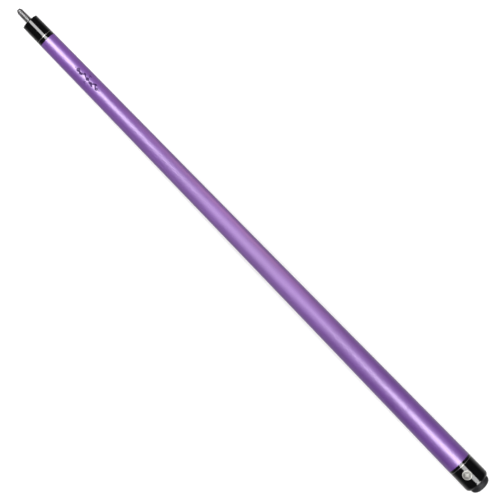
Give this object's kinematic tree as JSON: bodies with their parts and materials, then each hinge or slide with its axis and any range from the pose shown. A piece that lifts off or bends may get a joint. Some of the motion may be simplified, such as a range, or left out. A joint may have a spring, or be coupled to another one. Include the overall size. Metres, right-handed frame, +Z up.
{
  "type": "pool cue butt",
  "caption": "Butt half of a two-piece pool cue: long tapered stick with a threaded joint pin at one end and a capped, rubber-bumpered butt at the other.",
  "frame": {"origin": "centre of the joint face, where the joint pin's axis leaves the collar", "axes": "+X runs from the joint face along the stick to the rubber bumper, the joint pin points along -X, and +Z is up with the stick lying level; the medallion sits 13 degrees from +Z towards -Y"},
  "size_m": [0.7551, 0.0312, 0.0314],
  "materials": {
    "joint_steel": "machined stainless steel thread, bright crests and dull roots",
    "hidden_steel": "dull zinc-plated steel thread",
    "collar_black": "polished black phenolic",
    "ring_silver": "polished nickel silver",
    "purple_paint": "maple under pearl purple paint and a satin clear coat",
    "medallion_metal": "stamped pale silver metal with dark recesses",
    "bumper_rubber": "moulded matte black rubber"
  },
  "bodies": {
    "butt": {"joint_pin": "joint_steel", "joint_collar": "collar_black", "joint_ring": "ring_silver", "joint_trim_ring": "collar_black", "forearm": "purple_paint", "joining_screw": "hidden_steel", "handle": "purple_paint", "butt_sleeve": "purple_paint", "butt_trim_ring": "collar_black", "butt_ring": "ring_silver", "butt_cap": "collar_black", "medallion": "medallion_metal"},
    "weight_bolt": {"weight_bolt": "hidden_steel"},
    "bumper": {"bumper": "bumper_rubber"}
  },
  "joints": [
    {"name": "bumper_pull", "type": "slide", "parent": "butt", "child": "bumper", "axis": [1, 0, 0], "range_m": [0, 0.04]},
    {"name": "weight_bolt_travel", "type": "slide", "parent": "butt", "child": "weight_bolt", "axis": [1, 0, 0], "range_m": [0, 0.02]}
  ]
}
